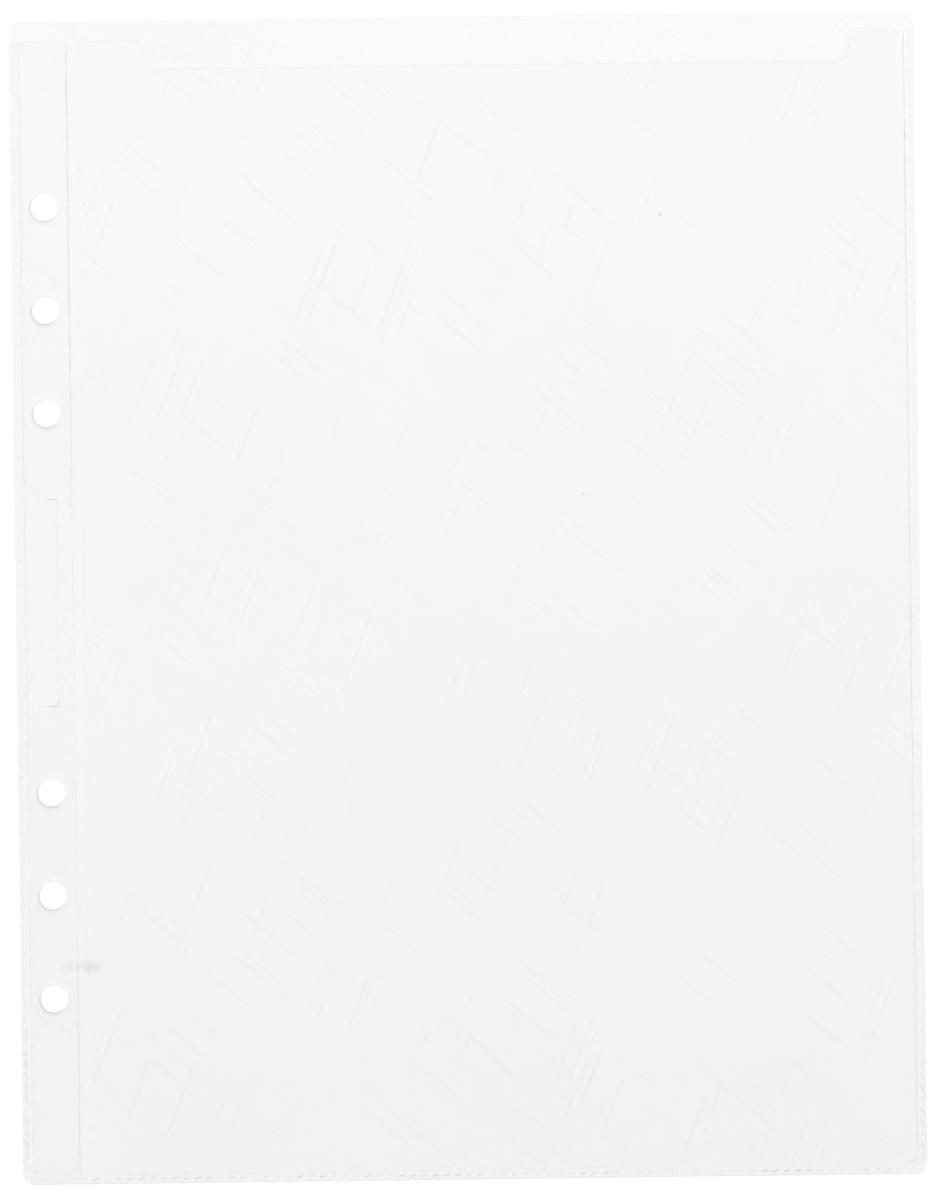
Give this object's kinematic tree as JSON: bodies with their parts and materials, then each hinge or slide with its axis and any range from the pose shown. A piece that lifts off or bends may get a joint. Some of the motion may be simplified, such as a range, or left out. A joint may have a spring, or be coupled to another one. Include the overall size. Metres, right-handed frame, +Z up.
{
  "type": "punched document envelope",
  "caption": "Clear film document envelope for a ring organiser: a top-opening pocket with a thumb notch, welded edges and a punched binding strip that folds at the spine weld.",
  "frame": {"origin": "centre of the sheet, on its underside", "axes": "+X across the page, away from the binding strip; +Y up the page, to the mouth; +Z up, out of the front film"},
  "size_m": [0.1668, 0.2144, 0.0006],
  "materials": {
    "clear_film": "clear soft vinyl film with a faint haze",
    "fused_weld": "two clear films fused into one strip, with pressed stitch marks"
  },
  "bodies": {
    "binding_strip": {"strip_back_film": "clear_film", "strip_front_film": "clear_film", "left_edge_weld": "fused_weld", "strip_foot_weld": "fused_weld", "label_plate": "fused_weld"},
    "pocket": {"spine_weld": "fused_weld", "pocket_back_film": "clear_film", "pocket_front_film": "clear_film", "pocket_foot_weld": "fused_weld", "right_edge_weld": "fused_weld"},
    "front_lip": {"front_lip_film": "clear_film"}
  },
  "joints": [
    {"name": "spine_fold", "type": "hinge", "parent": "binding_strip", "child": "pocket", "pos_m": [-0.07285, 0, 0.0003], "axis": [0, -1, 0], "range_deg": [0, 90]},
    {"name": "front_lip_lift", "type": "hinge", "parent": "pocket", "child": "front_lip", "pos_m": [0.00535, 0.0772, 0.0006], "axis": [1, 0, 0], "range_deg": [0, 45], "stiffness_Nm_per_rad": 0.002}
  ]
}
